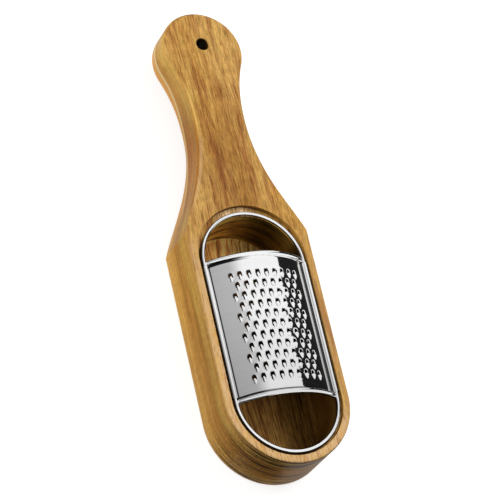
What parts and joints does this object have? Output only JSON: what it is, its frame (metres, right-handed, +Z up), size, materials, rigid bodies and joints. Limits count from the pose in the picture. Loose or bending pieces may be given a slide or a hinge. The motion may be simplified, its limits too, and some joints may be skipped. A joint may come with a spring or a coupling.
{
  "type": "cheese grater",
  "caption": "Hand-held cheese grater: a hollowed wooden body with a handle and a hanging hole, and an arched steel grating plate on a wire ring that lifts out of a rebate.",
  "frame": {"origin": "middle of the outline seen from above, on the surface that the wooden body lies on", "axes": "+Z up from that surface, +Y along the length from the body towards the handle, +X across to the right"},
  "size_m": [0.0738, 0.2786, 0.0457],
  "materials": {
    "oiled_wood": "oiled hardwood, satin, golden brown with darker streaks along the length",
    "steel_sheet": "polished stainless sheet",
    "steel_wire": "polished stainless wire"
  },
  "bodies": {
    "body": {"wood_body": "oiled_wood"},
    "insert": {"wire_ring": "steel_wire", "upper_cross_wire": "steel_wire", "lower_cross_wire": "steel_wire", "grater_plate": "steel_sheet"}
  },
  "joints": [
    {"name": "lift", "type": "slide", "parent": "body", "child": "insert", "axis": [0, 0, 1], "range_m": [0, 0.06]}
  ]
}
